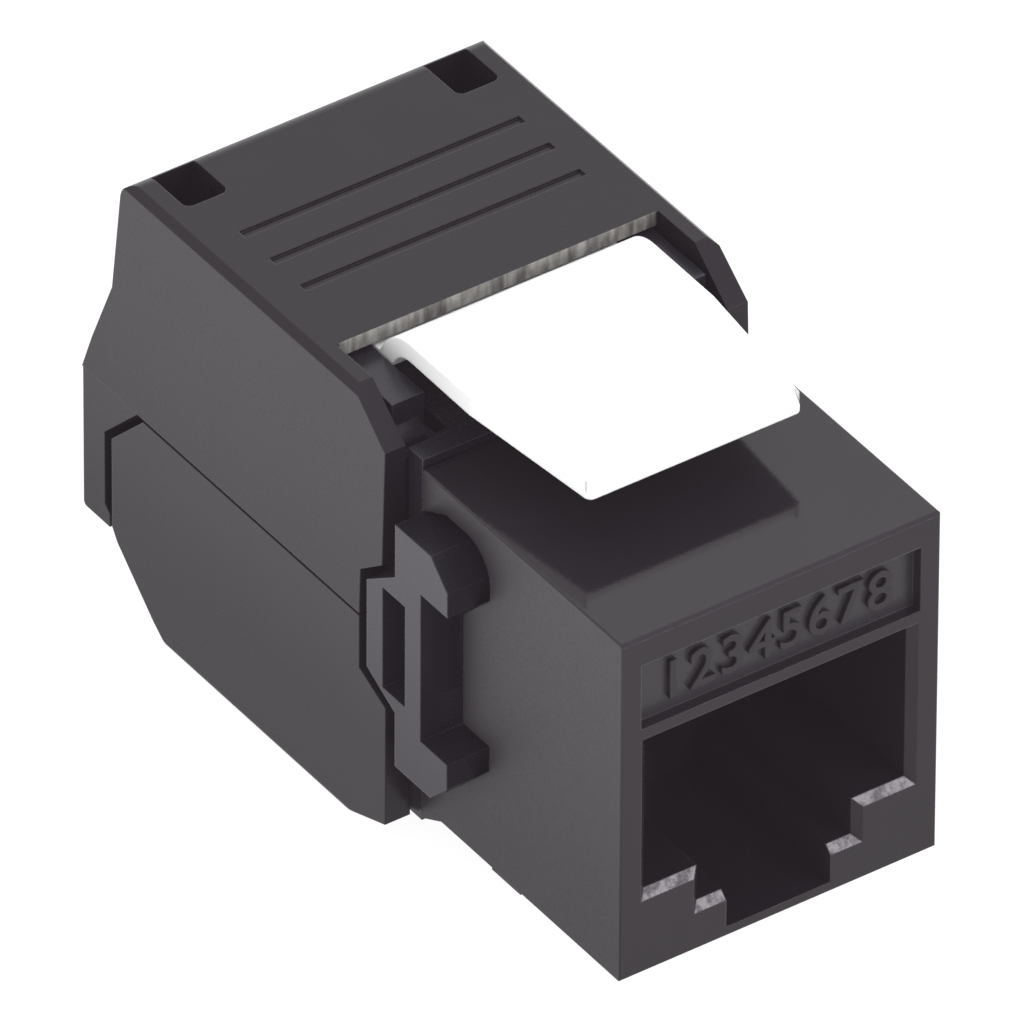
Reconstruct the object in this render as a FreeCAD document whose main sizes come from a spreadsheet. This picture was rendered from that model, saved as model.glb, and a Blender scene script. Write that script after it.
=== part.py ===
import FreeCAD, Part
import os
import Sketcher

# Tool-less modular keystone jack with a panel latch.
# Every outline is drawn in the jack's own coordinates, in mm: X to the right, Y from the front
# face to the rear, Z up, with zero at the middle of the front face's bottom edge.
# The pieces are then placed so that the origin lies under the middle of the whole jack.

SIZES = [
    ("face_width", 14.6, "front face, left to right"),
    ("face_height", 16.0, "front face, bottom to top"),
    ("housing_length", 13.1, "front housing, front to rear"),
    ("housing_bevel", 0.06, "bevel of the housing's edges"),
    ("brow_bevel", 0.15, "bevel along the top of the front face"),
    ("port_width", 12.0, "plug port between its side walls"),
    ("port_floor", 3.75, "height of the ledges beside the plug's catch"),
    ("port_ceiling", 10.8, "top of the port's mouth"),
    ("port_lead", 0.35, "lead-in bevel at the port's mouth"),
    ("step_width", 7.1, "width of the port's middle step"),
    ("step_floor", 2.07, "height of the middle step"),
    ("catch_width", 4.8, "width of the slot for the plug's catch"),
    ("catch_floor", 0.45, "floor thickness under the plug's catch"),
    ("catch_depth", 9.0, "how far the step and the catch slot reach in"),
    ("bay_front", 1.5, "front wall above the port"),
    ("bay_roof", 1.0, "housing roof above the contact carrier"),
    ("field_width", 12.8, "recessed field above the port"),
    ("field_floor", 11.67, "bottom of the recessed field"),
    ("field_ceiling", 14.7, "top of the recessed field"),
    ("field_depth", 0.5, "depth of the recessed field"),
    ("window_front", 8.65, "front end of the side window"),
    ("window_waist", 10.4, "front of the window's narrow middle"),
    ("window_ceiling", 14.85, "top of the side window"),
    ("window_head", 12.65, "where the window's head starts to narrow"),
    ("window_foot", 5.67, "top of the window's foot"),
    ("window_floor", 1.7, "bottom of the side window"),
    ("window_slope", 2.8, "bevel at the window's foot"),
    ("window_round", 1.6, "round at the window's head"),
    ("lug_front", 8.4, "front of the fixed lug under the housing"),
    ("lug_length", 1.9, "fixed lug, front to rear"),
    ("lug_inset", 1.3, "fixed lug's distance from the housing's sides"),
    ("skirt_length", 1.3, "skirt at the housing's rear bottom edge"),
    ("skirt_drop", 0.65, "how far the skirt reaches down"),
    ("total_depth", 34.2, "whole jack, front face to rear leg"),
    ("cover_width", 17.1, "covers, left to right"),
    ("cover_wall", 1.15, "side walls of the covers"),
    ("cover_front", 15.5, "front edge of the covers beside the clips"),
    ("cover_lean", 0.25, "how far the upper cover's sides lean in towards the roof"),
    ("cover_bevel", 0.3, "bevel along the upper cover's long edges"),
    ("roof_height", 18.45, "top of the upper cover"),
    ("roof_thickness", 0.65, "roof of the upper cover"),
    ("roof_front", 18.7, "front edge of the roof between the ears"),
    ("roof_rear", 31.8, "rear edge of the roof"),
    ("roof_round", 0.9, "round at the roof's rear edge"),
    ("floor_front", 17.6, "front edge of the lower cover's floor"),
    ("floor_thickness", 0.85, "floor of the lower cover"),
    ("floor_rear", 28.4, "rear edge of the lower cover's floor"),
    ("floor_round", 0.3, "round along the lower cover's long edges"),
    ("rear_drop", 1.9, "how far the lower cover reaches below the front face"),
    ("ear_front", 14.1, "front edge of the covers' ears"),
    ("ear_top", 16.6, "top of the upper ear's front edge"),
    ("ear_slope", 2.2, "length of the slope from the roof to the ear's front edge"),
    ("ear_foot", 11.35, "bottom of the upper ear's front edge"),
    ("ear_neck", 10.3, "where the ear's underside meets the cover's front edge"),
    ("lower_ear_front", 13.75, "front edge of the lower ear"),
    ("lower_ear_top", 4.75, "top of the lower ear's front edge"),
    ("lower_ear_neck", 5.6, "where the lower ear meets the cover's front edge"),
    ("lower_ear_slope", 3.0, "length of the slope at the lower ear's bottom"),
    ("lower_ear_foot", 1.04, "height of that slope"),
    ("seam_height", 8.14, "middle of the seam between the covers"),
    ("seam_gap", 0.12, "gap of the seam"),
    ("waist_height", 13.1, "where the cover's rear starts to swell"),
    ("waist_rear", 32.3, "rear of the upper cover at that height"),
    ("swell_height", 9.9, "where the swell ends"),
    ("swell_rear", 33.6, "rear of the upper cover at that height"),
    ("leg_thickness", 1.45, "rear leg of the upper cover, front to rear"),
    ("leg_floor", 1.5, "bottom of the rear leg"),
    ("leg_round", 0.2, "round at the leg's lower rear edge"),
    ("leg_gap", 0.55, "gap between the rear leg and the lower cover"),
    ("leg_foot", 0.33, "how far the leg's foot reaches into that gap"),
    ("leg_foot_height", 0.6, "height of the leg's foot"),
    ("leg_bevel", 2.15, "bevel at the lower cover's rear top corner"),
    ("leg_bevel_gap", 0.4, "gap along that bevel, front to rear"),
    ("leg_inset", 0.05, "how far the leg's sides are set in"),
    ("heel_height", 1.15, "where the lower cover's rear starts to slope in"),
    ("heel_rear", 31.85, "rear of the slope's upper end"),
    ("heel_front", 29.4, "rear of the slope's lower end"),
    ("heel_step", 0.76, "height of the bevel below the slope"),
    ("rear_wall", 1.5, "rear walls of the covers"),
    ("entry_radius", 3.3, "radius of the cable entry"),
    ("groove_width", 0.45, "grip grooves in the roof"),
    ("groove_depth", 0.12, "depth of the grip grooves"),
    ("groove_length", 12.9, "grip grooves, left to right"),
    ("groove_first", 22.35, "place of the front grip groove"),
    ("groove_pitch", 2.02, "distance between grip grooves"),
    ("pocket_inner", 5.3, "inner side of the roof pockets"),
    ("pocket_outer", 7.25, "outer side of the roof pockets"),
    ("pocket_front", 28.95, "front of the roof pockets"),
    ("pocket_rear_wall", 0.45, "wall behind the roof pockets"),
    ("pocket_floor", 16.4, "floor of the roof pockets"),
    ("pocket_round", 0.35, "round at the roof pockets' front corners"),
    ("hinge_place", 15.6, "distance of the covers' hinge pins from the front face"),
    ("hinge_upper", 15.6, "height of the upper cover's hinge pins"),
    ("hinge_lower", 0.8, "height of the lower cover's hinge pins"),
    ("pin_radius", 0.75, "radius of the covers' hinge pins"),
    ("pin_clearance", 0.06, "radial clearance of the hinge pins"),
    ("pin_skin", 0.45, "cover wall left outside a hinge pin's hole"),
    ("boss_radius", 1.0, "radius of the boss that carries a hinge pin"),
    ("boss_length", 1.2, "length of that boss"),
    ("body_width", 14.4, "termination body between the covers"),
    ("body_front", 13.25, "front of the termination body"),
    ("body_rear", 29.0, "rear of the termination body"),
    ("body_top", 15.85, "top of the termination body"),
    ("body_bottom", 0.4, "bottom of the termination body"),
    ("flange_top", 16.35, "top of the termination body's front flange"),
    ("flange_length", 0.95, "front flange, front to rear"),
    ("flange_drop", 0.9, "how far the front flange reaches below the front face"),
    ("clip_thickness", 1.95, "side clip plates"),
    ("clip_rear", 15.0, "rear edge of the clip plates"),
    ("clip_neck_top", 10.15, "top of the clip plate's rear neck"),
    ("clip_neck_bottom", 6.0, "bottom of the clip plate's rear neck"),
    ("clip_head_rear", 13.12, "rear edge of the clip's head and foot"),
    ("clip_head_bottom", 11.44, "bottom of the head's rear edge"),
    ("clip_foot_top", 4.95, "top of the foot's rear edge"),
    ("clip_top", 13.95, "top of the clip's head"),
    ("clip_bottom", 2.4, "bottom of the clip's foot"),
    ("clip_bar_front", 11.42, "front of the bar between head and foot"),
    ("clip_nose", 9.66, "front of the clip's head and foot"),
    ("clip_nose_slope", 1.1, "bevel at the clip's noses"),
    ("clip_hook_top", 11.7, "underside of the head's hook"),
    ("clip_hook_bottom", 4.67, "upper side of the foot's hook"),
    ("slot_front", 12.45, "front of the slot in the clip plate"),
    ("slot_rear", 13.95, "rear of that slot"),
    ("slot_bottom", 5.65, "bottom of that slot"),
    ("slot_top", 10.45, "top of that slot"),
    ("board_width", 11.8, "circuit board, left to right"),
    ("board_bottom", 1.6, "lower edge of the circuit board"),
    ("board_top", 14.8, "upper edge of the circuit board"),
    ("board_front", 13.4, "front side of the circuit board"),
    ("board_thickness", 1.0, "circuit board"),
    ("board_clearance", 0.12, "clearance round the circuit board"),
    ("board_backset", 0.6, "room for the solder joints behind the board"),
    ("carrier_clearance", 0.1, "clearance of the contact carrier in the housing"),
    ("carrier_wall", 1.3, "rear wall of the contact carrier"),
    ("carrier_gap", 0.2, "gap between the carrier and the housing's rear edge"),
    ("comb_floor", 11.0, "underside of the comb"),
    ("comb_slot", 0.62, "width of the comb's slots"),
    ("comb_ceiling", 14.1, "top of the comb's slots"),
    ("comb_lip", 0.4, "comb wall in front of the contact wires"),
    ("contact_count", 8, "number of contact wires"),
    ("contact_pitch", 1.02, "distance between contact wires"),
    ("contact_width", 0.45, "contact wire, left to right"),
    ("contact_thickness", 0.35, "contact wire's thickness"),
    ("contact_height", 12.6, "underside of a contact wire's upper run"),
    ("contact_front", 2.3, "front bend of a contact wire"),
    ("contact_drop", 10.65, "lower end of the front bend"),
    ("contact_end", 8.6, "rear end of the sloping leg"),
    ("contact_tip", 8.3, "height of that end"),
    ("contact_bend", 0.25, "inside radius of the bends"),
    ("contact_tail", 14.62, "rear end of a contact wire, behind the board"),
    ("contact_hole", 0.37, "radius of the board's contact holes"),
    ("terminal_thickness", 0.45, "thickness of a terminal blade"),
    ("terminal_front", 24.0, "place of the front terminals"),
    ("terminal_rear", 27.3, "place of the rear terminals"),
    ("terminal_outer", 5.2, "sideways place of the front terminals"),
    ("terminal_inner", 3.0, "sideways place of the rear terminals"),
    ("terminal_height", 10.6, "height of the upper terminals' shanks"),
    ("terminal_width", 2.2, "width of a terminal's fork"),
    ("terminal_top", 15.7, "tips of the upper forks"),
    ("fork_floor", 12.7, "bottom of the fork's slot"),
    ("fork_slot", 0.34, "width of the fork's slot"),
    ("fork_mouth", 0.8, "depth of the fork's mouth"),
    ("shank_height", 0.8, "height of a terminal's shank"),
    ("tail_height", 0.5, "height of a terminal's pin"),
    ("tail_front", 13.15, "front end of a terminal's pin"),
    ("tail_hole", 0.42, "radius of the board's pin holes"),
    ("blade_clearance", 0.08, "clearance beside a terminal blade"),
    ("trough_width", 1.3, "conductor troughs, front to rear"),
    ("trough_floor", 12.9, "floor of the upper conductor troughs"),
    ("channel_width", 3.0, "middle channel for the conductors"),
    ("channel_front", 22.3, "front end of the middle channel"),
    ("rib_width", 0.8, "pressing ribs of the covers, front to rear"),
    ("rib_depth", 1.9, "how far the ribs reach into the troughs"),
    ("rib_inner", 2.0, "inner end of the pressing ribs"),
    ("rib_outer", 6.9, "outer end of the pressing ribs"),
    ("rib_gap", 0.5, "gap between a rib and a terminal blade's middle"),
    ("latch_tip", 5.66, "front end of the panel latch"),
    ("latch_tip_bottom", 18.2, "underside of the latch at its tip"),
    ("latch_thickness", 0.8, "thickness of the latch arm"),
    ("latch_ramp", 0.5, "how far the tip's front face leans back"),
    ("latch_tip_width", 9.75, "width of the latch at its tip"),
    ("latch_root_width", 11.2, "width of the latch at its root"),
    ("latch_shoulder", 12.5, "where the arm reaches its full width"),
    ("latch_round", 0.3, "round at the latch tip's corners"),
    ("latch_bend", 17.6, "where the level arm meets its steep part"),
    ("latch_bend_round", 2.0, "outer radius of the bend between them"),
    ("latch_bend_inset", 0.46, "how far in front of that the underside meets the steep part"),
    ("latch_rise", 0.1, "how far the arm rises from its tip to the bend"),
    ("latch_heel", 18.42, "lower end of the steep part"),
    ("latch_heel_top", 17.62, "height of that end"),
    ("latch_underside", 17.35, "lower end of the steep part's front side"),
    ("pivot_place", 20.1, "distance of the latch's pivot from the front face"),
    ("pivot_height", 16.72, "height of the latch's pivot"),
    ("barrel_radius", 0.82, "radius of the latch's root"),
    ("trunnion_radius", 0.45, "radius of the latch's trunnions"),
    ("trunnion_clearance", 0.05, "radial clearance of the trunnions"),
    ("trunnion_length", 0.75, "length of a trunnion"),
    ("cheek_gap", 0.15, "gap between the latch root and a cheek"),
    ("cheek_front", 15.3, "front of the cheeks beside the latch's root"),
    ("cheek_length", 6.05, "cheeks, front to rear"),
    ("cheek_top", 17.65, "top of the cheeks"),
]


class Size:
    """A length in mm, together with the sheet expression that gives it."""

    def __init__(self, value, text):
        self.value = float(value)
        self.text = text

    def combine(self, sign, other):
        other = as_size(other)
        results = {
            "+": self.value + other.value,
            "-": self.value - other.value,
            "*": self.value * other.value,
            "/": self.value / other.value if other.value else 0.0,
        }
        return Size(results[sign], f"({self.text} {sign} {other.text})")

    def __add__(self, other):
        return self.combine("+", other)

    def __radd__(self, other):
        return as_size(other).combine("+", self)

    def __sub__(self, other):
        return self.combine("-", other)

    def __rsub__(self, other):
        return as_size(other).combine("-", self)

    def __mul__(self, other):
        return self.combine("*", other)

    def __rmul__(self, other):
        return as_size(other).combine("*", self)

    def __truediv__(self, other):
        return self.combine("/", other)

    def __neg__(self):
        return as_size(0).combine("-", self)


def as_size(number):
    """The same number as a Size, so that plain numbers and sizes mix."""
    return number if isinstance(number, Size) else Size(number, repr(float(number)))


class Namespace:
    """The sheet's sizes, read by name."""


def make_sheet(document):
    """Write every driving dimension into the sheet and give it back by name."""
    sheet = document.addObject("Spreadsheet::Sheet", "Sizes")
    sizes = Namespace()
    for row, (alias, value, meaning) in enumerate(SIZES, start=1):
        sheet.set(f"A{row}", alias)
        sheet.set(f"B{row}", str(value))
        sheet.set(f"C{row}", meaning)
        sheet.setAlias(f"B{row}", alias)
        setattr(sizes, alias, Size(value, f"Sizes.{alias}"))
    document.recompute()
    return sizes


doc = FreeCAD.newDocument("KeystoneJack")
s = make_sheet(doc)

LINE_TOLERANCE = 0.005
SMALLEST_CHANGE = 1e-4
LEFT_AND_RIGHT = (-1, 1)


def bind(item, name, size):
    """Tie one property to the sheet."""
    item.setExpression(name, as_size(size).text)


def new_body(label):
    """An empty body that stands in the jack's frame."""
    body = doc.addObject("PartDesign::Body", label)
    body.Label = label
    bind(body, "Placement.Base.y", -s.total_depth / 2)
    bind(body, "Placement.Base.z", s.rear_drop)
    return body


def origin_part(body, role):
    """One of the body's own origin planes or axes."""
    return next(item for item in body.Origin.OriginFeatures if item.Role == role)


def check_volumes(body):
    """Make sure that each feature of a body added or removed material, as it should."""
    for feature in body.Group:
        kinds = ("Pad", "Pocket", "Additive", "Subtractive")
        if not any(kind in feature.TypeId for kind in kinds) or feature.BaseFeature is None:
            continue
        change = feature.Shape.Volume - feature.BaseFeature.Shape.Volume
        cuts = "Subtractive" in feature.TypeId or "Pocket" in feature.TypeId
        if abs(change) < SMALLEST_CHANGE or (change > 0) == cuts:
            raise RuntimeError(f"{body.Label}: {feature.Name} changes the volume by {change}")


def prism(body, name, role, points, low, high, cut=False):
    """A straight-sided outline on an origin plane, extruded from low to high."""
    low = as_size(low)
    high = as_size(high)
    drawing = body.newObject("Sketcher::SketchObject", name + "Outline")
    drawing.AttachmentSupport = [(origin_part(body, role), "")]
    drawing.MapMode = "FlatFace"
    bind(drawing, "AttachmentOffset.Base.z", -high if role == "XZ_Plane" else low)
    places = [(as_size(first), as_size(second)) for first, second in points]
    corners = [FreeCAD.Vector(first.value, second.value, 0) for first, second in places]
    for start, end in zip(corners, corners[1:] + corners[:1]):
        drawing.addGeometry(Part.LineSegment(start, end), False)
    for number, place in enumerate(places):
        following = (number + 1) % len(places)
        drawing.addConstraint(Sketcher.Constraint("Coincident", number, 2, following, 1))
        for kind, size in zip(("DistanceX", "DistanceY"), place):
            row = drawing.addConstraint(Sketcher.Constraint(kind, number, 1, size.value))
            bind(drawing, f"Constraints[{row}]", size)
    feature = body.newObject("PartDesign::Pocket" if cut else "PartDesign::Pad", name)
    feature.Profile = drawing
    feature.Reversed = cut
    feature.Refine = False
    bind(feature, "Length", high - low)
    return feature


def block(body, name, x, y, z, cut=False):
    """A box given by its low and high sides along each axis."""
    kind = "PartDesign::SubtractiveBox" if cut else "PartDesign::AdditiveBox"
    feature = body.newObject(kind, name)
    feature.Refine = False
    feature.AttachmentSupport = [(origin_part(body, "XY_Plane"), "")]
    feature.MapMode = "FlatFace"
    for axis, extent, (low, high) in zip("xyz", ("Length", "Width", "Height"), (x, y, z)):
        bind(feature, f"AttachmentOffset.Base.{axis}", low)
        bind(feature, extent, as_size(high) - low)
    return feature


def rod(body, name, role, centre, low, high, radius, cut=False):
    """A round bar or hole along the normal of an origin plane, from low to high."""
    kind = "PartDesign::SubtractiveCylinder" if cut else "PartDesign::AdditiveCylinder"
    feature = body.newObject(kind, name)
    feature.Refine = False
    feature.AttachmentSupport = [(origin_part(body, role), "")]
    feature.MapMode = "FlatFace"
    start = -as_size(high) if role == "XZ_Plane" else low
    for axis, size in zip("xyz", (centre[0], centre[1], start)):
        bind(feature, f"AttachmentOffset.Base.{axis}", size)
    bind(feature, "Radius", radius)
    bind(feature, "Height", as_size(high) - low)
    return feature


def on_side(sign, inner, outer):
    """The span from inner to outer on the left or the right of the middle plane."""
    return (inner, outer) if sign > 0 else (-outer, -inner)


def row_of(body, name, original, span, count):
    """Evenly spaced copies of a feature along X."""
    feature = body.newObject("PartDesign::LinearPattern", name)
    feature.Originals = [original]
    feature.Direction = (origin_part(body, "X_Axis"), [""])
    bind(feature, "Length", span)
    bind(feature, "Occurrences", count)
    body.Tip = feature
    return feature


def compute_new(body):
    """Work out the body's new features, in their order."""
    for feature in body.Group:
        if "Touched" in feature.State:
            feature.recompute()


def edges_along(body, axis, places):
    """Names of the tip's straight edges that run along an axis through the given places."""
    others = [number for number in range(3) if number != "xyz".index(axis)]
    targets = [[as_size(size).value for size in place] for place in places]
    compute_new(body)
    names = []
    for number, edge in enumerate(body.Tip.Shape.Edges, start=1):
        ends = [vertex.Point for vertex in edge.Vertexes]
        if len(ends) != 2 or edge.Curve.TypeId != "Part::GeomLine":
            continue
        for target in targets:
            offsets = [abs(end[i] - t) for end in ends for i, t in zip(others, target)]
            if max(offsets) < LINE_TOLERANCE:
                names.append(f"Edge{number}")
    return names


def soften(body, name, kind, edges, size):
    """A fillet or a chamfer on the named edges of the tip."""
    if not edges:
        raise RuntimeError(f"{body.Label}: {name} finds no edge")
    feature = body.newObject(f"PartDesign::{kind}", name)
    feature.Base = (body.Tip if feature.BaseFeature is None else feature.BaseFeature, edges)
    bind(feature, "Radius" if kind == "Fillet" else "Size", size)
    return feature


def both_signs(size):
    """The same distance to the left and to the right."""
    return [size * sign for sign in LEFT_AND_RIGHT]


half_face = s.face_width / 2
half_cover = s.cover_width / 2
half_body = s.body_width / 2
cover_inside = half_cover - s.cover_wall
half_port = s.port_width / 2
carrier_half = half_port - s.carrier_clearance
bay_ceiling = s.face_height - s.bay_roof
carrier_rear = s.housing_length - s.carrier_gap
contact_centre = s.contact_height + s.contact_thickness / 2
board_rear = s.board_front + s.board_thickness
seam_top = s.seam_height + s.seam_gap / 2
seam_bottom = s.seam_height - s.seam_gap / 2
roof_underside = s.roof_height - s.roof_thickness
floor_upside = s.floor_thickness - s.rear_drop
leg_front = s.total_depth - s.leg_thickness
lower_rear = leg_front - s.leg_gap
first_contact = -s.contact_pitch * (s.contact_count - 1) / 2
contact_span = s.contact_pitch * (s.contact_count - 1)


def mirrored_height(height):
    """The same height on the other side of the seam."""
    return s.seam_height * 2 - height


def build_front_housing():
    """Shell with the stepped port, the carrier's bay, the side windows, lug and skirt."""
    body = new_body("front_housing")
    block(body, "Shell", (-half_face, half_face), (0, s.housing_length), (0, s.face_height))
    brow = edges_along(body, "x", [(0, s.face_height)])
    soften(body, "BrowBevel", "Chamfer", brow, s.brow_bevel)
    front_edges = edges_along(body, "x", [(0, 0)])
    front_edges += edges_along(body, "z", [(-half_face, 0), (half_face, 0)])
    soften(body, "FrontBevel", "Chamfer", front_edges, s.housing_bevel)
    top_edges = edges_along(body, "y", [(-half_face, s.face_height), (half_face, s.face_height)])
    soften(body, "TopBevel", "Chamfer", top_edges, s.housing_bevel)

    block(body, "Port", (-half_port, half_port), (0, s.housing_length),
          (s.port_floor, s.port_ceiling), cut=True)
    half_step = s.step_width / 2
    block(body, "Step", (-half_step, half_step), (0, s.catch_depth),
          (s.step_floor, s.port_floor), cut=True)
    half_catch = s.catch_width / 2
    block(body, "Catch", (-half_catch, half_catch), (0, s.catch_depth),
          (s.catch_floor, s.step_floor), cut=True)
    mouth = edges_along(body, "z", [(-half_port, 0), (half_port, 0)])
    mouth += edges_along(body, "x", [(0, s.port_ceiling), (0, s.port_floor), (0, s.step_floor)])
    mouth += edges_along(body, "z", [(-half_step, 0), (half_step, 0)])
    soften(body, "PortLead", "Chamfer", mouth, s.port_lead)

    block(body, "CarrierBay", (-half_port, half_port), (s.bay_front, s.housing_length),
          (s.port_ceiling - s.carrier_clearance, bay_ceiling), cut=True)
    half_field = s.field_width / 2
    block(body, "Field", (-half_field, half_field), (0, s.field_depth),
          (s.field_floor, s.field_ceiling), cut=True)

    past_rear = s.housing_length + s.housing_bevel
    outline = [
        (past_rear, s.window_ceiling - s.window_round / 2),
        (past_rear - s.window_round, s.window_ceiling),
        (s.window_front, s.window_ceiling),
        (s.window_front, s.window_head),
        (s.window_waist, s.window_head + s.window_front - s.window_waist),
        (s.window_waist, s.window_foot),
        (s.window_front, s.window_foot),
        (s.window_front, s.window_floor + s.window_slope),
        (s.window_front + s.window_slope, s.window_floor),
        (past_rear, s.window_floor),
    ]
    for sign in LEFT_AND_RIGHT:
        wall = on_side(sign, half_port - s.housing_bevel, half_face + s.housing_bevel)
        prism(body, "Window", "YZ_Plane", outline, *wall, cut=True)
    heads = edges_along(body, "x", [(s.window_front, s.window_ceiling)])
    soften(body, "WindowRound", "Fillet", heads, s.window_round)

    half_lug = half_face - s.lug_inset
    prism(body, "Lug", "YZ_Plane", [
        (s.lug_front - s.rear_drop / 2, 0),
        (s.lug_front, -s.rear_drop),
        (s.lug_front + s.lug_length, -s.rear_drop),
        (s.lug_front + s.lug_length, s.catch_floor / 2),
        (s.lug_front - s.rear_drop / 2, s.catch_floor / 2),
    ], -half_lug, half_lug)
    prism(body, "Skirt", "YZ_Plane", [
        (s.housing_length - s.skirt_length, 0),
        (s.housing_length, -s.skirt_drop),
        (s.housing_length, s.catch_floor),
        (s.housing_length - s.skirt_length, s.catch_floor),
    ], -half_face, half_face)
    return body


def build_contact_carrier():
    """Comb that guides the contact wires, with the port's rear wall below it."""
    body = new_body("contact_carrier")
    front = s.bay_front + s.carrier_clearance
    top = bay_ceiling - s.carrier_clearance
    bottom = s.port_floor + s.carrier_clearance
    prism(body, "Carrier", "YZ_Plane", [
        (front, s.comb_floor), (front, top), (carrier_rear, top), (carrier_rear, bottom),
        (carrier_rear - s.carrier_wall, bottom), (carrier_rear - s.carrier_wall, s.comb_floor),
    ], -carrier_half, carrier_half)
    half_slot = s.comb_slot / 2
    slot = block(body, "Slot", (first_contact - half_slot, first_contact + half_slot),
                 (front + s.comb_lip, carrier_rear), (s.comb_floor, s.comb_ceiling), cut=True)
    row_of(body, "Comb", slot, contact_span, s.contact_count)
    return body


def build_contact(number):
    """Spring wire: a run along the comb, a front bend and a leg that slopes into the port."""
    body = new_body(f"contact_{number}")
    bind(body, "Placement.Base.x", first_contact + s.contact_pitch * (number - 1))
    thick = s.contact_thickness
    steep = thick * 1.1
    outer = s.contact_bend + thick
    corners = {
        "upper": (s.contact_front, s.contact_height + thick),
        "lower": (s.contact_front, s.contact_drop),
        "inner_lower": (s.contact_front + thick, s.contact_drop + steep),
        "inner_upper": (s.contact_front + thick, s.contact_height),
    }
    prism(body, "Wire", "YZ_Plane", [
        (s.contact_tail, s.contact_height + thick), corners["upper"], corners["lower"],
        (s.contact_end, s.contact_tip), (s.contact_end + thick / 2, s.contact_tip + thick),
        corners["inner_lower"], corners["inner_upper"], (s.contact_tail, s.contact_height),
    ], -s.contact_width / 2, s.contact_width / 2)
    outside = edges_along(body, "x", [corners["upper"], corners["lower"]])
    soften(body, "OuterBends", "Fillet", outside, outer)
    inside = edges_along(body, "x", [corners["inner_lower"], corners["inner_upper"]])
    soften(body, "InnerBends", "Fillet", inside, s.contact_bend)
    return body


def terminal_places():
    """Number, sideways place, distance from the face and side of each terminal."""
    rows = [(s.terminal_outer, s.terminal_front), (s.terminal_inner, s.terminal_rear)]
    places = []
    for upper in (True, False):
        for sideways, distance in rows:
            for sign in LEFT_AND_RIGHT:
                places.append((len(places) + 1, sideways * sign, distance, upper))
    return places


def build_circuit_board():
    """Upright board with a row of contact holes and eight pin holes."""
    body = new_body("circuit_board")
    half_board = s.board_width / 2
    block(body, "Board", (-half_board, half_board), (s.board_front, board_rear),
          (s.board_bottom, s.board_top))
    hole = rod(body, "ContactHole", "XZ_Plane", (first_contact, contact_centre),
               s.board_front, board_rear, s.contact_hole, cut=True)
    row_of(body, "ContactHoles", hole, contact_span, s.contact_count)
    for number, sideways, distance, upper in terminal_places():
        height = s.terminal_height if upper else mirrored_height(s.terminal_height)
        rod(body, f"PinHole{number}", "XZ_Plane", (sideways, height),
            s.board_front, board_rear, s.tail_hole, cut=True)
    return body


def build_terminal(number, sideways, distance, upper):
    """Flat terminal: a pin through the board, a shank and a fork that cuts into a conductor."""
    body = new_body(f"idc_terminal_{number}")
    bind(body, "Placement.Base.x", sideways)
    middle = s.terminal_height
    pin = s.tail_height / 2
    shank = s.shank_height / 2
    half_fork = s.terminal_width / 2
    half_slot = s.fork_slot / 2
    shoulder = board_rear + s.board_backset
    tip = s.terminal_top
    mouth = tip - s.fork_mouth
    bevel = half_fork / 4
    outline = [
        (s.tail_front, middle - pin), (s.tail_front, middle + pin),
        (shoulder, middle + pin), (shoulder, middle + shank),
        (distance - half_fork, middle + shank), (distance - half_fork, tip - bevel),
        (distance - half_fork + bevel, tip), (distance - half_slot, mouth),
        (distance - half_slot, s.fork_floor), (distance + half_slot, s.fork_floor),
        (distance + half_slot, mouth), (distance + half_fork - bevel, tip),
        (distance + half_fork, tip - bevel), (distance + half_fork, middle - shank),
        (shoulder, middle - shank), (shoulder, middle - pin),
    ]
    if not upper:
        outline = [(first, mirrored_height(second)) for first, second in outline]
    prism(body, "Blade", "YZ_Plane", outline, -s.terminal_thickness / 2, s.terminal_thickness / 2)
    return body


def clip_outline():
    """Side clip plate: a head and a foot joined by a bar, with a neck to the rear."""
    return [
        (s.clip_head_rear, s.clip_top), (s.clip_head_rear, s.clip_head_bottom),
        (s.clip_rear, s.clip_neck_top), (s.clip_rear, s.clip_neck_bottom),
        (s.clip_head_rear, s.clip_foot_top), (s.clip_head_rear, s.clip_bottom),
        (s.clip_nose + s.clip_nose_slope, s.clip_bottom),
        (s.clip_nose, s.clip_bottom + s.clip_nose_slope),
        (s.clip_nose, s.clip_hook_bottom), (s.clip_bar_front, s.clip_hook_bottom),
        (s.clip_bar_front, s.clip_hook_top), (s.clip_nose, s.clip_hook_top),
        (s.clip_nose, s.clip_top - s.clip_nose_slope),
        (s.clip_nose + s.clip_nose_slope, s.clip_top),
    ]


def cut_terminal_slots(body):
    """Slots, troughs and channels that hold the terminals and the conductors."""
    half_slit = s.terminal_thickness / 2 + s.blade_clearance
    half_trough = s.trough_width / 2
    half_channel = s.channel_width / 2
    past_top = s.flange_top + s.board_clearance
    slit_floor = s.terminal_height - s.shank_height / 2 - s.blade_clearance
    slit_front = board_rear + s.board_backset - s.board_clearance
    for number, sideways, distance, upper in terminal_places():
        slit_rear = distance + s.terminal_width / 2 + s.blade_clearance
        slit = (slit_floor, past_top)
        trough = (s.trough_floor, past_top)
        if not upper:
            slit = (mirrored_height(past_top), mirrored_height(slit_floor))
            trough = (mirrored_height(past_top), mirrored_height(s.trough_floor))
        block(body, f"Slit{number}", (sideways - half_slit, sideways + half_slit),
              (slit_front, slit_rear), slit, cut=True)
        if sideways.value < 0:
            block(body, f"Trough{number}", (-half_body, half_body),
                  (distance - half_trough, distance + half_trough), trough, cut=True)
    for name, low, high in (
        ("UpperChannel", s.trough_floor, past_top),
        ("LowerChannel", mirrored_height(past_top), mirrored_height(s.trough_floor)),
    ):
        block(body, name, (-half_channel, half_channel), (s.channel_front, s.body_rear),
              (low, high), cut=True)


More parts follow.
